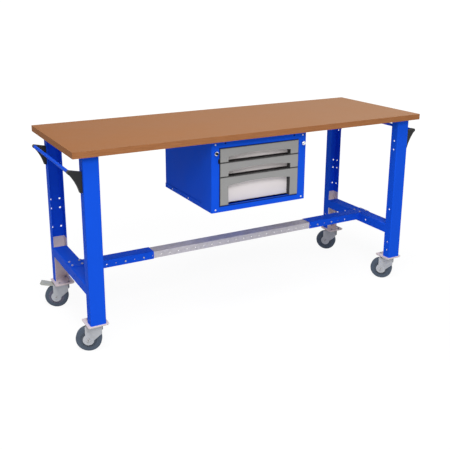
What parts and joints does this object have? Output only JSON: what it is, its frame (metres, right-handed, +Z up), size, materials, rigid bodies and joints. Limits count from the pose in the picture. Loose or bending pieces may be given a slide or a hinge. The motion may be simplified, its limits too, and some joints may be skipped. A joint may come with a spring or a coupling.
{
  "type": "mobile workbench with drawers",
  "caption": "Wooden worktop on telescopic steel legs with swivel casters, side rails, a lengthwise stretcher, push handles and a hung drawer cabinet.",
  "frame": {"origin": "on the floor, under the middle of the worktop", "axes": "+X to the user's right along the worktop, +Y to the rear, +Z up; the drawers open towards -Y"},
  "size_m": [2.0413, 0.7051, 1],
  "materials": {
    "worktop_wood": "satin lacquered fibreboard",
    "blue_paint": "blue powder coat, semi-gloss",
    "galvanised_steel": "galvanised, satin",
    "caster_steel": "zinc plated, satin",
    "bracket_plastic": "black moulded plastic",
    "rim_plastic": "grey moulded plastic",
    "tyre_rubber": "dark grey rubber",
    "pedal_steel": "grey-green coat",
    "cabinet_paint": "blue powder coat, semi-gloss",
    "drawer_paint": "light grey powder coat",
    "slide_zinc": "zinc plated",
    "front_plastic": "grey moulded plastic, fine grain",
    "lock_chrome": "polished",
    "knob_plastic": "black",
    "bolt_zinc": "zinc plated"
  },
  "bodies": {
    "bench": {"worktop": "worktop_wood", "leg_front_left": "blue_paint", "leg_front_right": "blue_paint", "leg_rear_left": "blue_paint", "leg_rear_right": "blue_paint", "inner_leg_front_left": "galvanised_steel", "inner_leg_front_right": "galvanised_steel", "inner_leg_rear_left": "galvanised_steel", "inner_leg_rear_right": "galvanised_steel", "side_rail_left": "blue_paint", "side_rail_right": "blue_paint", "top_rail_left": "blue_paint", "top_rail_right": "blue_paint", "stretcher_end_left": "blue_paint", "stretcher_end_right": "blue_paint", "stretcher_middle": "galvanised_steel", "handle_tube_left": "blue_paint", "handle_tube_right": "blue_paint", "handle_brackets_left": "bracket_plastic", "handle_brackets_right": "bracket_plastic", "caster_plate_front_left": "galvanised_steel", "caster_plate_front_right": "galvanised_steel", "caster_plate_rear_left": "galvanised_steel", "caster_plate_rear_right": "galvanised_steel", "cabinet_shell": "cabinet_paint", "cabinet_floor": "cabinet_paint", "front_frame": "cabinet_paint", "cabinet_uprights": "cabinet_paint", "slides_fixed": "slide_zinc", "lock_barrels": "lock_chrome", "frame_bolts": "bolt_zinc", "caster_bolts": "bolt_zinc"},
    "caster_front_left": {"fork_front_left": "caster_steel", "axle_front_left": "bolt_zinc"},
    "wheel_front_left": {"rim_front_left": "rim_plastic", "tyre_front_left": "tyre_rubber"},
    "caster_front_right": {"fork_front_right": "caster_steel", "axle_front_right": "bolt_zinc"},
    "wheel_front_right": {"rim_front_right": "rim_plastic", "tyre_front_right": "tyre_rubber"},
    "caster_rear_left": {"fork_rear_left": "caster_steel", "axle_rear_left": "bolt_zinc"},
    "wheel_rear_left": {"rim_rear_left": "rim_plastic", "tyre_rear_left": "tyre_rubber"},
    "caster_rear_right": {"fork_rear_right": "caster_steel", "axle_rear_right": "bolt_zinc"},
    "wheel_rear_right": {"rim_rear_right": "rim_plastic", "tyre_rear_right": "tyre_rubber"},
    "brake": {"brake_pedal": "pedal_steel"},
    "drawer_top": {"drawer_box_top": "drawer_paint", "drawer_slides_top": "slide_zinc", "drawer_front_top": "front_plastic"},
    "drawer_middle": {"drawer_box_middle": "drawer_paint", "drawer_slides_middle": "slide_zinc", "drawer_front_middle": "front_plastic"},
    "drawer_bottom": {"drawer_box_bottom": "drawer_paint", "drawer_slides_bottom": "slide_zinc", "drawer_front_bottom": "front_plastic"},
    "lock_left": {"lock_knob_left": "knob_plastic"},
    "lock_right": {"lock_knob_right": "knob_plastic"}
  },
  "joints": [
    {"name": "swivel_front_left", "type": "hinge", "parent": "bench", "child": "caster_front_left", "pos_m": [-0.91, -0.273, 0.13], "axis": [0, 0, 1], "continuous": true},
    {"name": "roll_front_left", "type": "hinge", "parent": "caster_front_left", "child": "wheel_front_left", "pos_m": [-0.94127, -0.25842, 0.0625], "axis": [0.4226, 0.9063, 0], "continuous": true},
    {"name": "swivel_front_right", "type": "hinge", "parent": "bench", "child": "caster_front_right", "pos_m": [0.91, -0.273, 0.13], "axis": [0, 0, 1], "continuous": true},
    {"name": "roll_front_right", "type": "hinge", "parent": "caster_front_right", "child": "wheel_front_right", "pos_m": [0.88782, -0.24657, 0.0625], "axis": [0.766, 0.6428, 0], "continuous": true},
    {"name": "swivel_rear_left", "type": "hinge", "parent": "bench", "child": "caster_rear_left", "pos_m": [-0.91, 0.273, 0.13], "axis": [0, 0, 1], "continuous": true},
    {"name": "roll_rear_left", "type": "hinge", "parent": "caster_rear_left", "child": "wheel_rear_left", "pos_m": [-0.94127, 0.28758, 0.0625], "axis": [0.4226, 0.9063, 0], "continuous": true},
    {"name": "swivel_rear_right", "type": "hinge", "parent": "bench", "child": "caster_rear_right", "pos_m": [0.91, 0.273, 0.13], "axis": [0, 0, 1], "continuous": true},
    {"name": "roll_rear_right", "type": "hinge", "parent": "caster_rear_right", "child": "wheel_rear_right", "pos_m": [0.88782, 0.29943, 0.0625], "axis": [0.766, 0.6428, 0], "continuous": true},
    {"name": "brake_press", "type": "hinge", "parent": "caster_rear_left", "child": "brake", "pos_m": [-0.95169, 0.29244, 0.1292], "axis": [-0.4226, -0.9063, 0], "range_deg": [0, 10]},
    {"name": "slide_top", "type": "slide", "parent": "bench", "child": "drawer_top", "axis": [0, -1, 0], "range_m": [0, 0.4]},
    {"name": "slide_middle", "type": "slide", "parent": "bench", "child": "drawer_middle", "axis": [0, -1, 0], "range_m": [0, 0.4]},
    {"name": "slide_bottom", "type": "slide", "parent": "bench", "child": "drawer_bottom", "axis": [0, -1, 0], "range_m": [0, 0.4]},
    {"name": "turn_lock_left", "type": "hinge", "parent": "bench", "child": "lock_left", "pos_m": [-0.2805, -0.313, 0.909], "axis": [0, 1, 0], "range_deg": [0, 90]},
    {"name": "turn_lock_right", "type": "hinge", "parent": "bench", "child": "lock_right", "pos_m": [0.2305, -0.313, 0.909], "axis": [0, 1, 0], "range_deg": [0, 90]}
  ]
}
